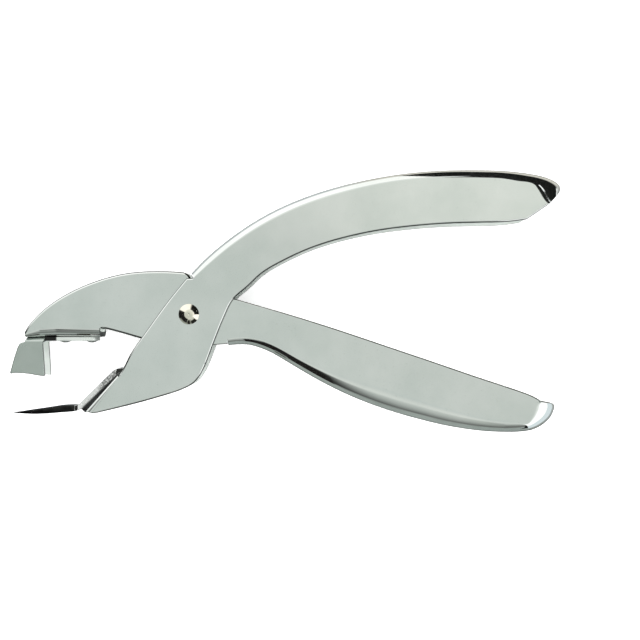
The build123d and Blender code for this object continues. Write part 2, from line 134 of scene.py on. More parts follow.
def sheet_part(name, loop, zlow, zhigh, thick, bend_rows=16, web_rows=3, edge=0.55, rear_edge=None):
    """A stamped sheet channel. loop is the near plate's outline, anticlockwise seen from +Z:
    ("free", points) is a plain edge, ("web", outline, flat, depth) is a bend into the web."""
    zmid = (zlow + zhigh) / 2
    verts, faces, kinds = [], [], []
    ring = []                       # near plate's boundary
    strips = []
    for item in loop:
        if item[0] == "free":
            for x, y in item[1]:
                ring.append(len(verts))
                verts.append((x, y, zhigh))
        else:
            _, outer, flat, depth = item[:4]
            # an optional fifth item is the row from which the bend and web take material 3, the near-black painted
            # shade
            painted_shade_from = item[4] if len(item) > 4 else 10 ** 6
            rows = []
            row = []
            for x, y in flat:
                ring.append(len(verts))
                row.append(len(verts))
                verts.append((x, y, zhigh))
            rows.append(row)
            for j in range(1, bend_rows + 1):
                a = 0.5 * math.pi * j / bend_rows
                row = []
                for (px, py), (qx, qy), dz in zip(outer, flat, depth):
                    row.append(len(verts))
                    verts.append((qx + (px - qx) * math.sin(a), qy + (py - qy) * math.sin(a),
                                  zhigh - dz * (1 - math.cos(a))))
                rows.append(row)
            for j in range(1, web_rows + 1):
                row = []
                for (px, py), dz in zip(outer, depth):
                    row.append(len(verts))
                    z = zhigh - dz
                    verts.append((px, py, z + (zmid - z) * j / web_rows))
                rows.append(row)
            strips.append((rows, painted_shade_from))
    faces.append(list(ring))
    kinds.append(0)
    for rows, painted_shade_from in strips:
        for j, (a, b) in enumerate(zip(rows[:-1], rows[1:])):
            for i in range(len(a) - 1):
                faces.append([a[i + 1], a[i], b[i], b[i + 1]])
                kinds.append(3 if j >= painted_shade_from else 0)
    # mirror to the far side; the rows on the middle plane are shared
    n = len(verts)
    mid = set(i for rows, _ in strips for i in rows[-1])
    other = {}
    for i in range(n):
        if i in mid:
            other[i] = i
        else:
            other[i] = len(verts)
            x, y, z = verts[i]
            verts.append((x, y, 2 * zmid - z))
    faces += [[other[i] for i in reversed(f)] for f in list(faces)]
    ob = new_object(name, [P3(*v) for v in verts], faces)
    for p, k in zip(ob.data.polygons, kinds + kinds):
        p.material_index = k
    m = ob.modifiers.new("sheet", "SOLIDIFY")
    m.thickness = thick / 1000
    m.offset = -1
    m.use_even_offset = False
    m.material_offset = 1          # inside faces
    m.material_offset_rim = 2      # cut edges
    for k in range(6):
        ob.data.materials.append(None)
    bake(ob)
    me = ob.data
    # the rolled edge that blanking leaves on the outside of each plate
    bm = bmesh.new()
    bm.from_mesh(me)
    lo, hi = zlow / 1000, zhigh / 1000
    split = (5 + PX) / 1000        # hidden under the crossing
    for side, width in ((-1, edge), (1, rear_edge or edge)):
        rim = [e for e in bm.edges if len(e.link_faces) == 2
               and ((e.verts[0].co.x + e.verts[1].co.x) / 2 - split) * side > 0
               and all(min(abs(v.co.z - lo), abs(v.co.z - hi)) < 1e-6 for v in e.verts)
               and sorted(f.material_index for f in e.link_faces) in ([0, 2], [0, 5])]
        bmesh.ops.bevel(bm, geom=rim, offset=width / 1000, offset_type="OFFSET", segments=5, profile=0.5,
                        affect="EDGES", clamp_overlap=False, material=-1)
    inner_rim = [e for e in bm.edges if len(e.link_faces) == 2
                 and all(min(abs(v.co.z - lo - thick / 1000), abs(v.co.z - hi + thick / 1000)) < 1e-6 for v in e.verts)
                 and sorted(f.material_index for f in e.link_faces) in ([1, 2],)]
    bmesh.ops.bevel(bm, geom=inner_rim, offset=0.00008, offset_type="OFFSET", segments=2, profile=0.5,
                    affect="EDGES", clamp_overlap=False, material=-1)
    for e in bm.edges:
        if len(e.link_faces) == 2 and e.calc_face_angle(0) > math.radians(40):
            e.smooth = False
    bm.to_mesh(me)
    bm.free()
    me.polygons.foreach_set("use_smooth", [True] * len(me.polygons))
    w = ob.modifiers.new("flat", "WEIGHTED_NORMAL")
    w.mode = "FACE_AREA"
    w.weight = 50
    w.keep_sharp = True
    return ob


def bake(ob):
    """Apply an object's modifiers."""
    dg = bpy.context.evaluated_depsgraph_get()
    me = bpy.data.meshes.new_from_object(ob.evaluated_get(dg))
    ob.modifiers.clear()
    ob.data = me


def revolve(name, profile, centre, axis=(0, 0, 1), steps=64):
    """A turned piece: profile is (radius, height) pairs in mm along axis from centre."""
    verts, faces = [], []
    ax = Vector(axis).normalized()
    q = ax.to_track_quat("Z", "Y").to_matrix()
    for r, h in profile:
        for k in range(steps):
            a = 2 * math.pi * k / steps
            v = q @ Vector((r * math.cos(a), r * math.sin(a), h))
            verts.append(Vector(centre) + v / 1000)
    m = len(profile)
    closed = profile[0] == profile[-1]
    for j in range(m - 1):
        for k in range(steps):
            k2 = (k + 1) % steps
            faces.append([j * steps + k, j * steps + k2, (j + 1) * steps + k2, (j + 1) * steps + k])
    ob = new_object(name, verts, faces)
    bm = bmesh.new()
    bm.from_mesh(ob.data)
    bmesh.ops.remove_doubles(bm, verts=bm.verts, dist=1e-7)
    bmesh.ops.dissolve_degenerate(bm, dist=1e-8, edges=bm.edges)
    bmesh.ops.recalc_face_normals(bm, faces=bm.faces)
    bm.to_mesh(ob.data)
    bm.free()
    ob.data.polygons.foreach_set("use_smooth", [True] * len(ob.data.polygons))
    return ob


def sharp_by_angle(ob, deg=40):
    me = ob.data
    bm = bmesh.new()
    bm.from_mesh(me)
    for e in bm.edges:
        if len(e.link_faces) == 2 and e.calc_face_angle(0) > math.radians(deg):
            e.smooth = False
    bm.to_mesh(me)
    bm.free()


# ------------------------------------------------------------------ outer lever
O_WEB = [(0.60, 12.10), (4.0, 15.70), (8.8, 20.0), (14.2, 24.15), (20.8, 28.45),
         (28.0, 32.2), (37.6, 36.0), (47.2, 38.8), (56.8, 40.85), (66.4, 42.25),
         (76.0, 42.95), (85.6, 43.10), (94.5, 42.85)]
O_NOSE = [(99.7, 42.35, 98.6, 39.75), (104.4, 41.62, 101.7, 39.4), (107.8, 40.72, 103.3, 38.6),
          (110.0, 39.66, 104.1, 37.4), (111.05, 38.66, 105.0, 35.9), (111.32, 37.7, 106.0, 34.3),
          (110.95, 36.6, 107.5, 32.8)]
O_OPEN = [(101.1, 28.5), (96.2, 27.85), (90.3, 27.55), (82.8, 27.4), (75.3, 27.1),
          (66.3, 26.35), (57.3, 25.2), (48.3, 23.4), (39.4, 20.9), (33.4, 18.6),
          (27.4, 15.7), (20.8, 11.6), (17.1, 8.1)]
O_JAW = [(13.1, 4.3), (11.0, 0.4), (9.45, -3.2), (8.1, -6.6), (6.8, -10.0), (5.4, -13.8), (3.75, -17.4),
         (1.75, -20.2), (-0.9, -21.9), (-3.6, -23.0), (-8.0, -24.4), (-15.1, -26.4),
         (-21.7, -28.05), (-27.2, -29.35)]
O_FREE = [(-20.9, -18.1), (-20.3, -17.3), (-17.75, -12.5), (-15.1, -8.4), (-11.95, -4.0),
          (-6.2, 3.9), (-0.7, 10.7)]
S0, S1 = np.array((-32.6, -28.2)), np.array((-21.9, -17.9))

def near(points, k=0.9937):
    """Pull a plate outline a touch towards the point under the eye."""
    return [(EYE[0] + (x - EYE[0]) * k, EYE[1] + (y - EYE[1]) * k) for x, y in points]


O_NOSE = [(px, py) + near([(qx, qy)])[0] for px, py, qx, qy in O_NOSE]
O_OPEN = near(O_OPEN) + O_JAW
top = cubic(O_WEB + [(p[0], p[1]) for p in O_NOSE], 0.35)
s_top = arclen(top)
# the flat plate's border beside the web: a constant bend, then the drawn nose
knot_s, knot_q = [], []
body_end = int(np.argmin(abs(top[:, 0] - 94.5)))
r_bend = stations(top, [(0.6, 1.7), (5, 2.3), (20, 2.5), (50, 2.35), (60, 2.25), (76.0, 2.5), (94.5, 2.65)])
flat_body = inset(top, r_bend, 1)
for i in range(0, body_end, 12):
    knot_s.append(s_top[i])
    knot_q.append(flat_body[i])
for px, py, qx, qy in O_NOSE:
    i = int(np.argmin(np.hypot(top[:, 0] - px, top[:, 1] - py)))
    knot_s.append(s_top[i])
    knot_q.append((qx, qy))


def through(s, values, at_s):
    """Cubic interpolation of vector values at given arc lengths."""
    s = np.array(s, float)
    v = np.array(values, float)
    n = len(s)
    h = np.diff(s)
    a = np.zeros((n, n))
    r = np.zeros((n, v.shape[1]))
    a[0, 0] = a[-1, -1] = 1
    for i in range(1, n - 1):
        a[i, i - 1], a[i, i], a[i, i + 1] = h[i - 1], 2 * (h[i - 1] + h[i]), h[i]
        r[i] = 6 * ((v[i + 1] - v[i]) / h[i] - (v[i] - v[i - 1]) / h[i - 1])
    m = np.linalg.solve(a, r)
    k = np.clip(np.searchsorted(s, at_s, side="right") - 1, 0, n - 2)
    A = ((s[k + 1] - at_s) / h[k])[:, None]
    B = ((at_s - s[k]) / h[k])[:, None]
    return A * v[k] + B * v[k + 1] + ((A ** 3 - A) * m[k] + (B ** 3 - B) * m[k + 1]) * (h[k] ** 2)[:, None] / 6


flat_top = through(knot_s, knot_q, s_top)
deep_top = stations(top, [(0.6, 2.0), (76.0, 2.05), (94.5, 2.3), (104.4, 3.0), (109.8, 4.2)])
deep_top[int(np.argmin(abs(top[:, 0] - 110.0))):] = 4.4
deep_top = np.convolve(np.pad(deep_top, 6, mode="edge"), np.ones(13) / 13, "valid")

slant = even(np.array([(-21.5, -17.85), (-32.5, -28.3)]), 0.4)     # from the crossing to the tip
k = np.linspace(0, 1, len(slant))[:, None]
flat_slant = np.array([(-20.85, -18.75)]) * (1 - k) + np.array([(-28.95, -29.5)]) * k
deep_slant = np.linspace(1.6, 3.0, len(slant))
jaw_rear = cubic(O_OPEN, 0.45)
tip = cubic([(-27.2, -29.35), (-27.9, -29.46), (-28.6, -29.53)], 0.3)[1:]
free = cubic(O_FREE, 0.45)

# anticlockwise seen from +Z: slanted web, jaw tip, rear/open edge, then the top web backwards
outer_loop = [
    # from row 5 outward the slanted bend is painted near-black: painted shade where the tongue plate shades it
    ("web", slant, flat_slant, deep_slant, 5),
    ("free", tip[::-1]),
    ("free", jaw_rear[::-1]),
    ("web", top[::-1], flat_top[::-1], deep_top[::-1]),
    ("free", np.array([(0.95, 10.75)])),
    ("free", free[::-1]),
]
outer = sheet_part("lever_outer", outer_loop, Z0, Z1, SHEET)

# ------------------------------------------------------------------ inner lever
I_WEB = [(11.6, -9.3), (14.4, -9.05), (17.6, -9.15), (20.7, -9.95), (24.3, -11.45),
         (27.9, -13.5), (32.7, -16.4), (40.0, -20.55), (47.2, -24.1), (54.4, -27.05),
         (61.6, -29.5), (68.8, -31.55), (76.1, -33.3), (83.3, -34.55), (89.3, -35.2),
         (94.5, -35.42)]
I_NOSE = [(98.0, -35.42, 97.2, -32.1), (100.45, -35.24, 99.2, -32.5), (102.57, -34.9, 100.9, -32.6),
          (104.45, -34.25, 101.8, -31.9), (106.2, -33.25, 102.35, -31.0), (107.8, -31.9, 102.75, -30.1),
          (108.85, -30.55, 103.1, -29.1), (109.55, -28.9, 103.45, -27.95), (109.78, -27.7, 103.95, -26.9),
          (109.5, -26.95, 104.9, -26.2)]
I_OPEN = [(104.6, -25.5), (102.1, -24.2), (99.6, -23.25), (95.1, -21.75), (86.0, -18.75),
          (73.6, -14.5), (60.0, -9.9), (44.8, -4.8), (31.5, -0.6), (20.7, 2.55),
          (14.6, 4.3), (9.3, 5.8), (4.9, 7.15), (2.2, 8.5)]
I_NECK = [(2.2, 8.5), (0.85, 9.8), (0.25, 10.9), (-0.1, 11.6), (-0.75, 12.2), (-2.1, 12.6)]
I_ARC = [(-2.1, 12.6), (-6.0, 12.85), (-11.0, 12.9), (-15.3, 12.7), (-19.7, 12.15),
         (-24.3, 11.1), (-29.1, 9.55), (-33.9, 7.55), (-38.7, 4.95), (-42.3, 2.5),
         (-44.9, 0.3), (-47.1, -2.0), (-48.4, -3.7), (-49.35, -5.3)]
I_LOW = [(-26.1, -4.3), (-24.9, -4.45), (-23.9, -4.68), (-19.2, -5.95), (-14.5, -7.3), (-8.7, -8.55),
         (-1.2, -9.35), (5.5, -9.3), (11.6, -8.8)]

grip = cubic(I_WEB + [(p[0], p[1]) for p in I_NOSE], 0.35)
s_grip = arclen(grip)
r_grip = stations(grip, [(11.6, 2.2), (20.7, 2.7), (32.7, 3.3), (45.0, 4.8), (56.0, 6.0), (66.0, 6.0), (77.0, 5.3), (88.0, 4.2), (94.5, 3.6)])
flat_grip0 = inset(grip, r_grip, -1)
gs, gq = [], []
body_end = int(np.argmin(abs(grip[:, 0] - 93.5)))
for i in range(0, body_end, 12):
    gs.append(s_grip[i])
    gq.append(flat_grip0[i])
for px, py, qx, qy in I_NOSE:
    i = int(np.argmin(np.hypot(grip[:, 0] - px, grip[:, 1] - py)))
    gs.append(s_grip[i])
    gq.append((qx, qy))
flat_grip = through(gs, gq, s_grip)
k_nose = int(np.argmin(np.hypot(grip[:, 0] - 106.2, grip[:, 1] + 33.25)))
deep_grip = stations(grip[:k_nose + 1], [(11.6, 2.3), (20.7, 2.6), (45.0, 3.0), (70.0, 3.4), (94.5, 2.8), (106.2, 4.0)])
deep_grip = np.concatenate([deep_grip, np.full(len(grip) - k_nose - 1, 4.0)])

jaw_web = even(np.array([(-26.9, FLOOR_Y), (-49.05, FLOOR_Y)]), 0.4)   # rear to front
r_jaw = np.interp(jaw_web[:, 0], [-49.05, -48.2, -45.0, -40.0, -26.9], [0.75, 1.3, 2.6, 3.0, 2.6])
flat_jaw = jaw_web + np.stack([np.zeros(len(r_jaw)), r_jaw], 1)
flat_jaw[:, 0] += np.interp(jaw_web[:, 0], [-49.05, -47.0], [-0.25, 0.0])

inner_loop = [
    ("web", grip, flat_grip, deep_grip),
    ("free", cubic(I_OPEN, 0.45)),
    ("free", cubic(I_NECK, 0.3)[1:]),
    ("free", cubic(I_ARC, 0.4)[1:]),
    ("web", jaw_web[::-1], flat_jaw[::-1], r_jaw[::-1]),
    ("free", cubic(I_LOW, 0.45)),
]
inner = sheet_part("lever_inner", inner_loop, IZ0, IZ1, SHEET, edge=0.72, rear_edge=0.36)

# ------------------------------------------------------------------ pivot rivet, sleeve
def dome(r, h, steps=14, dimple=0.0, power=2.0):
    pts = [(r * math.sin(0.5 * math.pi * (1 - i / steps)) ** (1 if power == 2 else 0.9),) for i in range(steps + 1)]
    pts = [(p[0], h * (1 - (p[0] / r) ** power)) for p in pts]
    if dimple:
        pts = [p for p in pts if p[0] > 0.34]
        pts += [(0.30, h - 0.006), (0.24, h - 0.02), (0.15, h - 0.06), (0.0, h - 0.08)]
    return pts


HEAD = 0.98
up = dome(3.05, HEAD, 22, dimple=1, power=2.7)
low = dome(3.05, 0.99, 22, power=2.7)
prof = [(0.0, -low[-1][1] + 0.0)]
prof = [(r, -h) for r, h in low[::-1]]
prof += [(3.0, 0.03), (2.0, 0.05), (2.0, 15.95), (3.0, 15.97)]
prof += [(r, 16.0 + h) for r, h in up]
rivet = revolve("rivet_pivot", prof, P3(0, 0, Z0), steps=96)
sleeve = revolve("sleeve_pivot", [(2.05, 0), (2.05, 9.5), (2.7, 9.5), (2.9, 9.3), (2.9, 0.2), (2.7, 0), (2.05, 0)],
                 P3(0, 0, IZ0 + SHEET), steps=64)
sharp_by_angle(sleeve, 50)

# ------------------------------------------------------------------ return spring
WIRE_R = 0.6
COIL_R, PITCH, TURNS = 3.9, 1.32, 4
LEG_UP, LEG_DOWN = 44.0, -9.0
phi0 = LEG_UP + 90
sweep = (LEG_DOWN - 90 - phi0) % 360 + 360 * TURNS
rise = PITCH * sweep / 360
za, zb = ZM - rise / 2, ZM + rise / 2
path = []
u = Vector((math.cos(math.radians(LEG_UP)), math.sin(math.radians(LEG_UP)), 0))
d = Vector((math.cos(math.radians(LEG_DOWN)), math.sin(math.radians(LEG_DOWN)), 0))
start = Vector((COIL_R * math.cos(math.radians(phi0)), COIL_R * math.sin(math.radians(phi0)), za))
end_a = math.radians(phi0 + sweep)
end = Vector((COIL_R * math.cos(end_a), COIL_R * math.sin(end_a), zb))
for k in range(24):
    path.append(start + u * 33.0 * (1 - k / 24))
steps = int(sweep / 6)
for k in range(steps + 1):
    a = math.radians(phi0 + sweep * k / steps)
    path.append(Vector((COIL_R * math.cos(a), COIL_R * math.sin(a), za + rise * k / steps)))
for k in range(1, 21):
    path.append(end + d * 25.0 * k / 20)


def tube(name, pts, radius, sides=16):
    verts, faces = [], []
    nrm = Vector((0, 0, 1))
    rings = []
    for i, p in enumerate(pts):
        t = (pts[min(i + 1, len(pts) - 1)] - pts[max(i - 1, 0)]).normalized()
        nrm = (nrm - t * nrm.dot(t)).normalized()
        bi = t.cross(nrm)
        scale = [1.0]
        ring = []
        for k in range(sides):
            a = 2 * math.pi * k / sides
            ring.append(len(verts))
            verts.append(P3(*(p + (nrm * math.cos(a) + bi * math.sin(a)) * radius)))
        rings.append(ring)
    for a, b in zip(rings[:-1], rings[1:]):
        for k in range(sides):
            k2 = (k + 1) % sides
            faces.append([a[k], b[k], b[k2], a[k2]])
    faces.append(list(rings[0]))
    faces.append(list(reversed(rings[-1])))
    ob = new_object(name, verts, faces)
    bm = bmesh.new()
    bm.from_mesh(ob.data)
    bmesh.ops.recalc_face_normals(bm, faces=bm.faces)
    for e in bm.edges:
        if len(e.link_faces) == 2 and e.calc_face_angle(0) > 1.0:
            e.smooth = False
    bm.to_mesh(ob.data)
    bm.free()
    return ob


spring = tube("spring_return", path, WIRE_R)

# ------------------------------------------------------------------ presser foot
FT = 1.2
foot_web = even(np.array([(-43.35, FLOOR_Y), (-48.9, FLOOR_Y)]), 0.35)
foot_flat = np.stack([np.interp(np.arange(len(foot_web)), [0, len(foot_web) - 1], [-44.15, -49.7]),
                      np.full(len(foot_web), FLOOR_Y - 1.6)], 1)
cheek_front = cubic([(-49.7, -8.4), (-50.55, -8.45), (-51.35, -9.2), (-51.95, -10.6), (-52.95, -13.8), (-53.9, -17.3)], 0.35)[1:]
cheek_low = [(-53.95, -17.7), (-53.75, -17.88), (-53.35, -17.68), (-52.0, -17.62), (-50.5, -17.68),
             (-48.0, -17.92), (-45.6, -18.35), (-44.2, -18.58)]
cheek_rear = [(-43.62, -18.5), (-43.55, -18.0), (-43.8, -14.0), (-44.12, -9.6), (-44.15, -9.0)]
foot_loop = [
    # from row 7 outward the foot's bend is painted near-black: a painted dark reflection of the jaw's underside
    ("web", foot_web, foot_flat, np.full(len(foot_web), 1.6), 7),
    ("free", cheek_front),
    ("free", np.array(cheek_low)),
    ("free", np.array(cheek_rear)),
]
foot = sheet_part("foot_presser", foot_loop, 4.0, 14.0, FT, bend_rows=10, web_rows=3, edge=0.25)
# the foot's plate runs on to the rear under the jaw
tail_pts = []
x0, x1, z0, z1, rr = -43.6, -28.3, 4.6, 13.4, 1.2
tail_pts += [(x0, z0), (x0, z1)]
for k in range(7):
    a = math.pi / 2 * k / 6
    tail_pts.append((x1 - rr + rr * math.sin(a), z1 - rr + rr * math.cos(a)))
for k in range(7):
    a = math.pi / 2 * k / 6
    tail_pts.append((x1 - rr + rr * math.cos(a), z0 + rr - rr * math.sin(a)))
tv = [P3(x, FLOOR_Y - 0.01, z) for x, z in tail_pts]
tail = new_object("foot_tail", tv, [list(range(len(tv)))])
if tail.data.polygons[0].normal.y < 0:
    tail.data.flip_normals()
m = tail.modifiers.new("sheet", "SOLIDIFY")
m.thickness = (FT - 0.02) / 1000
m.offset = -1
b = tail.modifiers.new("edge", "BEVEL")
b.width = 0.00018
b.segments = 3
b.limit_method = "ANGLE"
b.angle_limit = math.radians(50)
w = tail.modifiers.new("flat", "WEIGHTED_NORMAL")
w.keep_sharp = False

# ------------------------------------------------------------------ small rivets
def small_rivet(name, base, axis, grip_len, head_low, head_high, r=1.8, shank=1.1):
    lo = dome(r, head_low, 10)
    hi = dome(r, head_high, 10)
    prof = [(q, -h) for q, h in lo[::-1]] + [(shank, 0.02), (shank, grip_len - 0.02)] + \
           [(q, grip_len + h) for q, h in hi]
    return revolve(name, prof, base, axis, steps=48)


rivets_foot = []
for nm, fx in (("rivet_foot_front", -38.2), ("rivet_foot_rear", -30.2)):
    rivets_foot.append(small_rivet(nm, P3(fx, FLOOR_Y - FT, ZM), (0, 1, 0), FT + SHEET, 0.54, 0.59))
sl = (S1 - S0) / np.hypot(*(S1 - S0))
nn = np.array((-sl[1], sl[0]))
rivets_tongue = []
for nm, s in (("rivet_tongue_upper", 4.6), ("rivet_tongue_lower", 10.4)):
    c = S1 - sl * s - nn * (SHEET + 0.2)
    rivets_tongue.append(small_rivet(nm, P3(c[0], c[1], ZM), (nn[0], nn[1], 0), SHEET + 0.2 + FT + 0.2, 0.49, 0.39))

# ------------------------------------------------------------------ lifting tongue
def paired(a, b, n):
    """Resample two matched polylines with the same parameter."""
    a, b = np.array(a, float), np.array(b, float)
    mid = (a + b) / 2
    s = arclen(mid)
    uu = np.linspace(0, s[-1], n)
    out = []
    for arr in (a, b):
        v = through(s, arr, uu)
        out.append(v)
    return out[0], out[1]


n_out = 1.6                      # the mounting plate's outside face, off the jaw
outline = [(-19.9, -17.35), (-19.9, -16.25), (-21.75, -16.25), (-22.35, -16.42)]
q0, q1 = S1 + nn * n_out - sl * 0.45, S1 + nn * n_out - sl * 14.2
outline += [tuple(q0 + (q1 - q0) * t) for t in np.linspace(0, 1, 12)]
outline += [(-33.7, -27.12), (-34.45, -27.36), (-34.9, -27.42), (-35.0, -29.2), (-34.2, -29.05), (-33.3, -28.65)]
r0, r1 = S1 + nn * 0.02 - sl * 14.2, S1 + nn * 0.02 - sl * 0.6
outline += [tuple(r0 + (r1 - r0) * t) for t in np.linspace(0, 1, 12)]
outline += [(-21.1, -17.38)]
mv = [P3(x, y, 5.7) for x, y in outline] + [P3(x, y, 12.3) for x, y in outline]
nm = len(outline)
mount = new_object("tongue_mount", mv, [list(range(nm)), list(reversed(range(nm, 2 * nm)))] +
                   [[i, nm + i, nm + (i + 1) % nm, (i + 1) % nm] for i in range(nm)])
bm = bmesh.new()
bm.from_mesh(mount.data)
bmesh.ops.recalc_face_normals(bm, faces=bm.faces)
for cut in (-22.3, -33.9):
    bmesh.ops.bisect_plane(bm, geom=bm.verts[:] + bm.edges[:] + bm.faces[:], plane_co=P3(cut, 0, 0), plane_no=(1, 0, 0))
for f in bm.faces:                 # both bent ends take the dark tongue material, the flat between them the pale plate material
    x = f.calc_center_median().x * 1000 - PX
    f.material_index = 1 if x > -22.3 or x < -33.9 else 0
sharp = [e for e in bm.edges if e.calc_face_angle(0) > math.radians(30)]
bmesh.ops.bevel(bm, geom=sharp, offset=0.00013, offset_type="OFFSET", segments=3, profile=0.5, affect="EDGES", clamp_overlap=True)
bm.to_mesh(mount.data)
bm.free()
mount.data.polygons.foreach_set("use_smooth", [True] * len(mount.data.polygons))
w = mount.modifiers.new("flat", "WEIGHTED_NORMAL")
w.keep_sharp = False

blade_top = [(-34.5, -27.38), (-36.6, -27.4), (-38.6, -27.42), (-41.0, -27.6), (-43.1, -27.88),
             (-45.5, -28.25), (-47.9, -28.62), (-50.0, -29.0), (-52.0, -29.36), (-54.05, -29.68)]
blade_low = [(-34.5, -29.22), (-36.6, -29.45), (-38.6, -29.62), (-41.0, -29.86), (-43.1, -30.04),
             (-45.5, -30.16), (-47.9, -30.2), (-50.0, -30.14), (-52.0, -30.02), (-54.1, -29.82)]
n_st = 80
ta, tb = paired(blade_top, blade_low, n_st)
half_w = np.interp(-ta[:, 0], [35.0, 38.0, 41.0, 44.5, 48.5, 51.8, 53.2, 54.0],
                   [3.28, 3.28, 3.2, 2.95, 2.25, 1.5, 1.0, 0.55])
verts, faces, rings = [], [], []
ns = 32
for i in range(n_st):
    (ax, ay), (bx, by), hw = ta[i], tb[i], half_w[i]
    cx, cy = (ax + bx) / 2, (ay + by) / 2
    hx, hy = (ax - bx) / 2, (ay - by) / 2
    round_ = min(1.0, max(0.0, (-ax - 36.0) / 6.0))
    ring = []
    for k in range(ns):
        a = 2 * math.pi * k / ns
        c, s_ = math.cos(a), math.sin(a)
        zz = math.copysign(abs(c) ** (0.2 + 0.3 * round_), c) * hw
        vv = math.copysign(abs(s_) ** (0.2 + (0.25 if s_ > 0 else 0.5) * round_), s_)
        # dished like a scoop: the middle of the top side lies lower than its edges
        dish = 0.55 * round_ * max(0.0, s_) * (1 - (zz / hw) ** 2) * math.sin(math.pi * min(1, max(0, (-ax - 36) / 17.5)))
        ring.append(len(verts))
        verts.append(P3(cx + hx * vv, cy + hy * vv - dish, ZM + zz))
    rings.append(ring)
for a, b2 in zip(rings[:-1], rings[1:]):
    for k in range(ns):
        k2 = (k + 1) % ns
        faces.append([a[k], a[k2], b2[k2], b2[k]])
faces.append(list(reversed(rings[0])))
faces.append(list(rings[-1]))
tongue = new_object("tongue_blade", verts, faces)
bm = bmesh.new()
bm.from_mesh(tongue.data)
bmesh.ops.recalc_face_normals(bm, faces=bm.faces)
bm.to_mesh(tongue.data)
bm.free()
sharp_by_angle(tongue, 60)

# ------------------------------------------------------------------ materials
def material(name, base, rough, metallic=1.0, build=None):
    m = bpy.data.materials.new(name)
    m.use_nodes = True
    nt = m.node_tree
    bsdf = nt.nodes["Principled BSDF"]
    bsdf.inputs["Base Color"].default_value = (*base, 1)
    bsdf.inputs["Roughness"].default_value = rough
    bsdf.inputs["Metallic"].default_value = metallic
    if build:
        build(nt, bsdf)
    return m


def node(nt, kind, **props):
    n = nt.nodes.new(kind)
    for k, v in props.items():
        setattr(n, k, v)
    return n


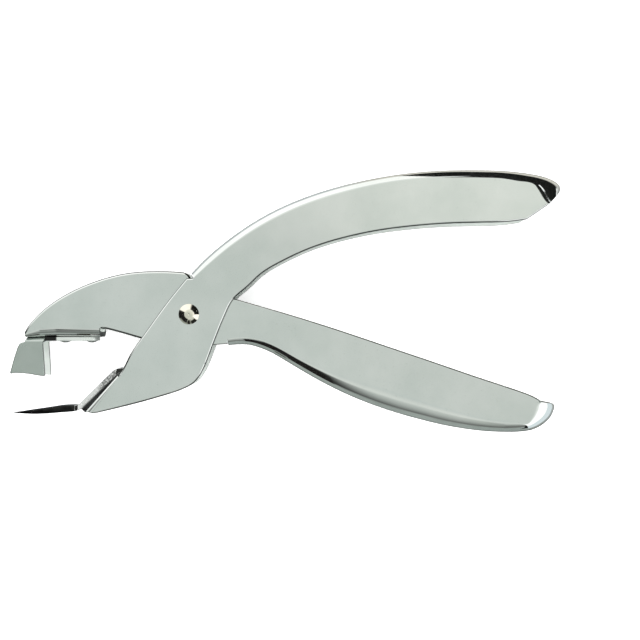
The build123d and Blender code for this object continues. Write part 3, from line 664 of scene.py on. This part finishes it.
def plated(base_a, base_b, rough_lo, rough_hi, scale=1.0, bump=0.012, ripple=0.02, speck=(0.24, 0.34, 0.86, 1.0), patch=None):
    """patch (x0, x1, a, b) scales the colour from a at x0 to b at x1, in metres along the tool."""
    def build(nt, bsdf):
        L = nt.links.new
        tc = node(nt, "ShaderNodeTexCoord")
        mp = node(nt, "ShaderNodeMapping")
        L(tc.outputs["Object"], mp.inputs["Vector"])
        # broad cloudiness of the plating
        cloud = node(nt, "ShaderNodeTexNoise")
        cloud.inputs["Scale"].default_value = 55 * scale
        cloud.inputs["Detail"].default_value = 3
        cloud.inputs["Roughness"].default_value = 0.55
        L(mp.outputs["Vector"], cloud.inputs["Vector"])
        ramp = node(nt, "ShaderNodeValToRGB")
        ramp.color_ramp.elements[0].position = 0.35
        ramp.color_ramp.elements[0].color = (*base_a, 1)
        ramp.color_ramp.elements[1].position = 0.65
        ramp.color_ramp.elements[1].color = (*base_b, 1)
        L(cloud.outputs["Fac"], ramp.inputs["Fac"])
        # fine pinholes and dust in the plate
        specks = node(nt, "ShaderNodeTexNoise")
        specks.inputs["Scale"].default_value = 2600 * scale * speck[3]
        specks.inputs["Detail"].default_value = 2
        L(mp.outputs["Vector"], specks.inputs["Vector"])
        sr = node(nt, "ShaderNodeMapRange")
        sr.inputs["From Min"].default_value = speck[0]
        sr.inputs["From Max"].default_value = speck[1]
        sr.inputs["To Min"].default_value = speck[2]
        sr.inputs["To Max"].default_value = 1.0
        L(specks.outputs["Fac"], sr.inputs["Value"])
        mix = node(nt, "ShaderNodeMix", data_type="RGBA", blend_type="MULTIPLY")
        mix.inputs["Factor"].default_value = 1.0
        L(ramp.outputs["Color"], mix.inputs["A"])
        L(sr.outputs["Result"], mix.inputs["B"])
        result = mix.outputs["Result"]
        if patch:
            xyz = node(nt, "ShaderNodeSeparateXYZ")
            L(mp.outputs["Vector"], xyz.inputs["Vector"])
            pr = node(nt, "ShaderNodeMapRange", interpolation_type="SMOOTHSTEP")
            for key, v in zip(("From Min", "From Max", "To Min", "To Max"), patch):
                pr.inputs[key].default_value = v
            L(xyz.outputs["X"], pr.inputs["Value"])
            px = node(nt, "ShaderNodeMix", data_type="RGBA", blend_type="MULTIPLY")
            px.inputs["Factor"].default_value = 1.0
            if len(patch) > 4:
                # mottled: the patch only counts where the coarse noise is low
                grit = node(nt, "ShaderNodeTexNoise")
                grit.inputs["Scale"].default_value = patch[4]
                grit.inputs["Detail"].default_value = 2
                L(mp.outputs["Vector"], grit.inputs["Vector"])
                gr = node(nt, "ShaderNodeMapRange", interpolation_type="SMOOTHSTEP")
                gr.inputs["From Min"].default_value = 0.48
                gr.inputs["From Max"].default_value = 0.58
                L(grit.outputs["Fac"], gr.inputs["Value"])
                mx = node(nt, "ShaderNodeMath", operation="MAXIMUM")
                L(pr.outputs["Result"], mx.inputs[0])
                L(gr.outputs["Result"], mx.inputs[1])
                L(mx.outputs[0], px.inputs["B"])
            else:
                L(pr.outputs["Result"], px.inputs["B"])
            L(result, px.inputs["A"])
            result = px.outputs["Result"]
        L(result, bsdf.inputs["Base Color"])
        # roughness drifts with handling
        rr_ = node(nt, "ShaderNodeMapRange")
        rr_.inputs["From Min"].default_value = 0.3
        rr_.inputs["From Max"].default_value = 0.7
        rr_.inputs["To Min"].default_value = rough_lo
        rr_.inputs["To Max"].default_value = rough_hi
        n2 = node(nt, "ShaderNodeTexNoise")
        n2.inputs["Scale"].default_value = 160 * scale
        n2.inputs["Detail"].default_value = 4
        L(mp.outputs["Vector"], n2.inputs["Vector"])
        L(n2.outputs["Fac"], rr_.inputs["Value"])
        L(rr_.outputs["Result"], bsdf.inputs["Roughness"])
        # slow waves of stamped sheet, and a fine orange peel
        wv = node(nt, "ShaderNodeTexNoise")
        wv.inputs["Scale"].default_value = 70 * scale
        wv.inputs["Detail"].default_value = 1
        L(mp.outputs["Vector"], wv.inputs["Vector"])
        b1 = node(nt, "ShaderNodeBump")
        b1.inputs["Strength"].default_value = 1.0
        b1.inputs["Distance"].default_value = ripple / 1000
        L(wv.outputs["Fac"], b1.inputs["Height"])
        pe = node(nt, "ShaderNodeTexNoise")
        pe.inputs["Scale"].default_value = 900 * scale
        pe.inputs["Detail"].default_value = 3
        L(mp.outputs["Vector"], pe.inputs["Vector"])
        b2_ = node(nt, "ShaderNodeBump")
        b2_.inputs["Strength"].default_value = 1.0
        b2_.inputs["Distance"].default_value = bump / 1000
        L(pe.outputs["Fac"], b2_.inputs["Height"])
        L(b1.outputs["Normal"], b2_.inputs["Normal"])
        L(b2_.outputs["Normal"], bsdf.inputs["Normal"])
    return build


mat_lever = material("plated_lever", (0.8, 0.81, 0.8), 0.07,
                     build=plated((0.79, 0.815, 0.795), (0.875, 0.885, 0.87), 0.045, 0.085, 1.0, 0.0006, 0.020))
mat_inside = material("plated_inside", (0.55, 0.57, 0.55), 0.45, metallic=0.25,
                      build=plated((0.60, 0.64, 0.61), (0.70, 0.74, 0.71), 0.38, 0.52, 2.0, 0.004, 0.010))
mat_cut = material("sheet_edge", (0.2, 0.2, 0.2), 0.35,
                   build=plated((0.10, 0.11, 0.105), (0.20, 0.21, 0.20), 0.28, 0.42, 3.0, 0.006, 0.006))
# painted shade: a near-black material laid on the outer rows of the slanted jaw bend and of the foot's bend, standing
# in for the dark reflection and shade there
mat_painted_shade = material("jaw_painted_shade", (0.03, 0.03, 0.03), 0.2,
                    build=plated((0.012, 0.012, 0.012), (0.05, 0.052, 0.05), 0.12, 0.24, 3.0, 0.002, 0.006))
mat_rivet = material("rivet_chrome", (0.85, 0.84, 0.8), 0.06,
                     build=plated((0.84, 0.79, 0.67), (0.92, 0.88, 0.77), 0.04, 0.08, 2.0, 0.0004, 0.003))
mat_foot = material("foot_steel", (0.62, 0.65, 0.63), 0.3,
                    build=plated((0.465, 0.515, 0.485), (0.53, 0.575, 0.545), 0.20, 0.28, 2.0, 0.0006, 0.006))
mat_tongue = material("tongue_steel", (0.1, 0.1, 0.1), 0.3,
                      build=plated((0.012, 0.012, 0.012), (0.05, 0.05, 0.048), 0.12, 0.26, 4.0, 0.004, 0.012))
mat_mount = material("tongue_plate", (0.7, 0.7, 0.7), 0.25, metallic=0.6,
                     build=plated((0.66, 0.67, 0.66), (0.74, 0.74, 0.73), 0.20, 0.32, 4.0, 0.002, 0.004,
                                  patch=(-0.0570, -0.0550, 1.0, 0.32, 2300)))
# painted shadow: the front of the foot's tail plate, under the jaw's web, is scaled to near-black
mat_tail = material("foot_plate", (0.8, 0.8, 0.8), 0.3, metallic=0.6,
                    build=plated((0.60, 0.64, 0.61), (0.69, 0.725, 0.695), 0.24, 0.36, 3.0, 0.001, 0.006,
                                 patch=(-0.0690, -0.0684, 0.015, 1.0)))
mat_small = material("bare_steel", (0.55, 0.56, 0.55), 0.25,
                     build=plated((0.50, 0.51, 0.50), (0.62, 0.63, 0.61), 0.20, 0.32, 3.0, 0.0008, 0.004))
mat_spring = material("spring_steel", (0.32, 0.32, 0.32), 0.3,
                      build=plated((0.26, 0.26, 0.26), (0.38, 0.37, 0.36), 0.24, 0.36, 3.0, 0.001, 0.004))

for ob, mat, body, nodes_, slot in (
        (outer, mat_lever, "outer", ["outer_lever"], "plated_lever"),
        (inner, mat_lever, "inner", ["inner_lever"], "plated_lever"),
        (rivet, mat_rivet, "outer", ["pivot_rivet"], "rivet_chrome"),
        (sleeve, mat_small, "inner", ["pivot_sleeve"], "bare_steel"),
        (foot, mat_foot, "inner", ["presser_foot"], "foot_steel"),
        (tail, mat_tail, "inner", [], "foot_steel"),
        (rivets_foot[0], mat_small, "inner", ["foot_rivet_front"], "bare_steel"),
        (rivets_foot[1], mat_small, "inner", ["foot_rivet_rear"], "bare_steel"),
        (tongue, mat_tongue, "outer", ["lifting_tongue"], "tongue_steel"),
        (mount, mat_mount, "outer", ["lifting_tongue"], "tongue_steel"),
        (rivets_tongue[0], mat_small, "outer", ["tongue_rivet_upper"], "bare_steel"),
        (rivets_tongue[1], mat_small, "outer", ["tongue_rivet_lower"], "bare_steel"),
        (spring, mat_spring, None, ["return_spring"], "spring_steel")):
    slots = {"lever_outer": [mat_lever, mat_inside, mat_cut, mat_painted_shade, mat_inside, mat_cut],
             "lever_inner": [mat_lever, mat_inside, mat_cut],
             "tongue_mount": [mat_mount, mat_tongue],
             "foot_presser": [mat_foot, mat_inside, mat_foot, mat_painted_shade, mat_inside, mat_foot],
             }.get(ob.name, [mat])
    keep = [p.material_index for p in ob.data.polygons]
    ob.data.materials.clear()
    for mt in slots:
        ob.data.materials.append(mt)
    ob.data.polygons.foreach_set("material_index", [min(k, len(slots) - 1) for k in keep])
    if body:
        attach(ob, body)
    for nd in nodes_:
        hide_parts(nd)
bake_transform(spring)

# ------------------------------------------------------------------ floor, light, camera
bpy.ops.mesh.primitive_plane_add(size=1.6, location=(0, 0, 0))
floor = bpy.context.object
floor.name = "floor"
fm = material("floor_paper", (0.93, 0.93, 0.93), 0.9, 0.0)
nt = fm.node_tree
fn = node(nt, "ShaderNodeTexNoise")
fn.inputs["Scale"].default_value = 40
ftc = node(nt, "ShaderNodeTexCoord")
nt.links.new(ftc.outputs["Object"], fn.inputs["Vector"])
fr = node(nt, "ShaderNodeValToRGB")
fr.color_ramp.elements[0].color = (0.925, 0.925, 0.925, 1)
fr.color_ramp.elements[1].color = (0.94, 0.94, 0.94, 1)
nt.links.new(fn.outputs["Fac"], fr.inputs["Fac"])
nt.links.new(fr.outputs["Color"], nt.nodes["Principled BSDF"].inputs["Base Color"])
nt.links.new(fr.outputs["Color"], nt.nodes["Principled BSDF"].inputs["Emission Color"])
nt.nodes["Principled BSDF"].inputs["Emission Strength"].default_value = 0.48
floor.data.materials.append(fm)
floor.visible_glossy = False

SOFT = 1.9                        # soft light on everything matt
world = bpy.data.worlds.new("studio")
bpy.context.scene.world = world
world.use_nodes = True
wt = world.node_tree
wt.nodes.clear()
WL = wt.links.new
w_out = wt.nodes.new("ShaderNodeOutputWorld")
geo = wt.nodes.new("ShaderNodeTexCoord")
sep = wt.nodes.new("ShaderNodeSeparateXYZ")
WL(geo.outputs["Generated"], sep.inputs["Vector"])


def m1(op, a, b=None, c=None, clamp=False):
    n = wt.nodes.new("ShaderNodeMath")
    n.operation = op
    n.use_clamp = clamp
    for i, v in enumerate((a, b, c)):
        if v is None:
            continue
        if isinstance(v, (int, float)):
            n.inputs[i].default_value = v
        else:
            WL(v, n.inputs[i])
    return n.outputs[0]


def smooth(v, lo, hi):
    n = wt.nodes.new("ShaderNodeMapRange")
    n.interpolation_type = "SMOOTHSTEP"
    n.inputs["From Min"].default_value = lo
    n.inputs["From Max"].default_value = hi
    WL(v, n.inputs["Value"])
    return n.outputs["Result"]


azim = m1("MULTIPLY", m1("ARCTAN2", sep.outputs["Y"], sep.outputs["X"]), 180 / math.pi)   # -180..180
elev = m1("MULTIPLY", m1("ARCSINE", sep.outputs["Z"]), 180 / math.pi)


def ramp(v, lo, hi, stops):
    """Piecewise colour along v; stops are (value, grey or (r, g, b))."""
    n = wt.nodes.new("ShaderNodeValToRGB")
    n.color_ramp.interpolation = "LINEAR"
    els = n.color_ramp.elements
    cols = [(p, (c, c, c) if isinstance(c, (int, float)) else c) for p, c in stops]
    els[0].position = (cols[0][0] - lo) / (hi - lo)
    els[0].color = (*cols[0][1], 1)
    els[1].position = (cols[-1][0] - lo) / (hi - lo)
    els[1].color = (*cols[-1][1], 1)
    for p, c in cols[1:-1]:
        e = els.new((p - lo) / (hi - lo))
        e.color = (*c, 1)
    WL(m1("DIVIDE", m1("SUBTRACT", v, float(lo)), float(hi - lo)), n.inputs["Fac"])
    return n.outputs["Color"]


def mix(a, b, f):
    n = wt.nodes.new("ShaderNodeMix")
    n.data_type = "RGBA"
    WL(f, n.inputs["Factor"])
    for v, k in ((a, "A"), (b, "B")):
        if isinstance(v, tuple):
            n.inputs[k].default_value = (*v, 1)
        else:
            WL(v, n.inputs[k])
    return n.outputs["Result"]


def times(a, b):
    n = wt.nodes.new("ShaderNodeMix")
    n.data_type = "RGBA"
    n.blend_type = "MULTIPLY"
    n.inputs["Factor"].default_value = 1
    for v, k in ((a, "A"), (b, "B")):
        if isinstance(v, tuple):
            n.inputs[k].default_value = (*v, 1)
        else:
            WL(v, n.inputs[k])
    return n.outputs["Result"]


# what the bright metal mirrors: a belt of white cards and dark flags round the table
belt = ramp(azim, -180, 180, [
    (-180, 0.010), (-113, 0.012), (-107.5, (0.26, 0.28, 0.265)), (-101, (0.42, 0.455, 0.43)), (-96, (0.45, 0.485, 0.46)),
    (-84, (0.42, 0.45, 0.42)), (-76, 0.02), (-42, 0.012), (-34, (1.28, 1.30, 1.29)), (20, (1.3, 1.3, 1.3)),
    (26, 0.010), (71, 0.008), (75, (0.20, 0.20, 0.19)), (85, (1.16, 1.17, 1.13)), (120, (1.22, 1.24, 1.22)),
    (152, (1.15, 1.17, 1.15)), (159, 0.010), (180, 0.010)])
# the grey side of the belt darkens downwards
shade = ramp(elev, -90, 90, [(-90, 0.8), (10, 0.8), (20, 0.62), (27, 0.34), (33, 0.48), (41, 0.74), (50, 1.0), (58, 1.2), (90, 1.35)])
south = m1("MULTIPLY", smooth(azim, -118, -110), m1("SUBTRACT", 1.0, smooth(azim, -84, -76)))
belt = mix(belt, times(belt, shade), south)
# the flag on the lower right stops short of the ceiling
south_east = m1("MULTIPLY", m1("MULTIPLY", smooth(azim, -84, -76), m1("SUBTRACT", 1.0, smooth(azim, -42, -34))), smooth(elev, 40, 52))
belt = mix(belt, (0.60, 0.64, 0.61), south_east)
# low down: the table and the room beyond it
low = ramp(azim, -180, 180, [
    (-180, (0.30, 0.32, 0.31)), (-125, (0.40, 0.45, 0.42)), (-80, (0.40, 0.45, 0.43)), (-50, (0.42, 0.45, 0.43)),
    (-30, (0.46, 0.50, 0.50)), (15, (0.56, 0.58, 0.56)), (40, (0.84, 0.82, 0.74)), (97, (0.84, 0.82, 0.74)),
    (104, (0.72, 0.77, 0.78)), (150, (0.66, 0.71, 0.71)), (180, (0.32, 0.34, 0.33))])
grain = wt.nodes.new("ShaderNodeTexNoise")
grain.inputs["Scale"].default_value = 26
grain.inputs["Detail"].default_value = 2
WL(geo.outputs["Generated"], grain.inputs["Vector"])
low = times(low, ramp(grain.outputs["Fac"], 0, 1, [(0.0, 0.55), (0.42, 0.72), (0.58, 1.0), (1.0, 1.0)]))
low = times(low, ramp(elev, -90, 90, [(-90, 0.40), (-52, 0.45), (-26, 1.0), (90, 1.0)]))
# overhead: a pale grey-green ceiling, lighter towards the upper right
u = m1("ADD", sep.outputs["X"], m1("MULTIPLY", sep.outputs["Y"], 1.5))
cloud = wt.nodes.new("ShaderNodeTexNoise")
cloud.inputs["Scale"].default_value = 9
cloud.inputs["Detail"].default_value = 2
WL(geo.outputs["Generated"], cloud.inputs["Vector"])
u = m1("ADD", u, m1("MULTIPLY", m1("SUBTRACT", cloud.outputs["Fac"], 0.5), 0.16))
cap = ramp(u, -0.4, 0.4, [(-0.4, (0.62, 0.665, 0.635)), (-0.16, (0.60, 0.655, 0.625)), (-0.05, (0.615, 0.665, 0.632)),
                          (0.09, (0.635, 0.675, 0.640)), (0.20, (0.755, 0.795, 0.745)), (0.4, (0.79, 0.83, 0.775))])
ring = ramp(azim, -180, 180, [(-180, (0.60, 0.64, 0.61)), (-130, (0.60, 0.64, 0.61)), (-110, (0.70, 0.74, 0.70)), (-80, (0.72, 0.76, 0.72)),
                              (-60, (0.62, 0.66, 0.63)), (-30, (0.95, 0.98, 0.96)), (20, (0.95, 0.98, 0.95)),
                              (40, (0.80, 0.84, 0.81)), (80, (0.86, 0.90, 0.87)), (150, (0.86, 0.90, 0.87)), (170, (0.64, 0.68, 0.65)), (180, (0.60, 0.64, 0.61))])

# the table's edge stands higher on the near side
side = m1("MULTIPLY", smooth(azim, -165, -150), m1("SUBTRACT", 1.0, smooth(azim, -84, -70)))
colour = mix(low, belt, smooth(m1("SUBTRACT", elev, m1("MULTIPLY", side, 18.0)), -8, 10))
colour = mix(colour, ring, smooth(elev, 58, 67))
colour = mix(colour, cap, smooth(elev, 66, 80))

lp = wt.nodes.new("ShaderNodeLightPath")
bg_show = wt.nodes.new("ShaderNodeBackground")
WL(colour, bg_show.inputs["Color"])
bg_show.inputs["Strength"].default_value = 1.0
bg_soft = wt.nodes.new("ShaderNodeBackground")
bg_soft.inputs["Color"].default_value = (1.0, 1.0, 1.0, 1)
bg_soft.inputs["Strength"].default_value = SOFT
mixw = wt.nodes.new("ShaderNodeMixShader")
WL(lp.outputs["Is Glossy Ray"], mixw.inputs["Fac"])
WL(bg_soft.outputs["Background"], mixw.inputs[1])
WL(bg_show.outputs["Background"], mixw.inputs[2])
WL(mixw.outputs["Shader"], w_out.inputs["Surface"])


def card(name, line, z0, z1, rgb, upper=None):
    """An upright studio card seen only in reflections; line is (x, y) from the pivot, in mm."""
    n = len(line)
    low = z0 if isinstance(z0, list) else [z0] * n
    verts = [P3(x, y, z) for (x, y), z in zip(line, low)] + [P3(x, y, z1) for x, y in (upper or line)]
    ob = new_object(name, verts, [[i, i + 1, n + i + 1, n + i] for i in range(n - 1)])
    m = bpy.data.materials.new(name)
    m.use_nodes = True
    t = m.node_tree
    t.nodes.clear()
    o = t.nodes.new("ShaderNodeOutputMaterial")
    e = t.nodes.new("ShaderNodeEmission")
    e.inputs["Color"].default_value = (*rgb, 1)
    t.links.new(e.outputs["Emission"], o.inputs["Surface"])
    ob.data.materials.append(m)
    ob.visible_camera = False
    ob.visible_diffuse = False
    ob.visible_shadow = False
    ob.visible_transmission = False
    ob.visible_volume_scatter = False
    return ob


def arc(cx, cy, r, a0, a1, n=24):
    return [(cx + r * math.cos(math.radians(a0 + (a1 - a0) * i / n)),
             cy + r * math.sin(math.radians(a0 + (a1 - a0) * i / n))) for i in range(n + 1)]


rim = arc(105, 37, 75, 97, -34)
card("flag_upper", [(58, 112), (88, 112)] + rim, [12, 12] + list(np.interp(range(len(rim)), [0, 8, 14, 24], [14, 24, 28, 14])),
     150, (0.008, 0.009, 0.008), upper=[(84, 112), (93, 112)] + rim)
card("flag_nose", arc(105, 37, 76, 92, -34), 120, 330, (0.008, 0.009, 0.008))
card("glint_nose", arc(105, 36, 40, 30, 41, 6), 88, 101, (1.3, 1.35, 1.35))
card("flag_low", [(-25, -105), (6, -110)], 38, 150, (0.010, 0.009, 0.008))
card("flag_beak", [(-54, -104), (-25, -104)], 6, 33, (0.050, 0.046, 0.034))
card("card_lower", arc(105, -28, 62, -78, 24), 48, 170, (1.22, 1.24, 1.23))
card("card_lower_blue", arc(105, -28, 62, -78, 24), 2, 48, (0.78, 0.87, 0.90))
card("flag_spot", arc(105, -28, 60, -86, -78), 8, 60, (0.006, 0.006, 0.006))

cam_data = bpy.data.cameras.new("camera")
cam = bpy.data.objects.new("camera", cam_data)
bpy.context.scene.collection.objects.link(cam)
CAM_H = 400.0
cam_data.sensor_width = 36.0
cam_data.lens = 3.370 * (CAM_H - 18.0) / 640.0 * 36.0
cam_data.clip_start = 0.01
cam.location = P3(EYE[0], EYE[1], CAM_H)
cam.rotation_euler = (0, 0, 0)
bpy.context.scene.camera = cam
bpy.context.scene.view_settings.view_transform = "Standard"
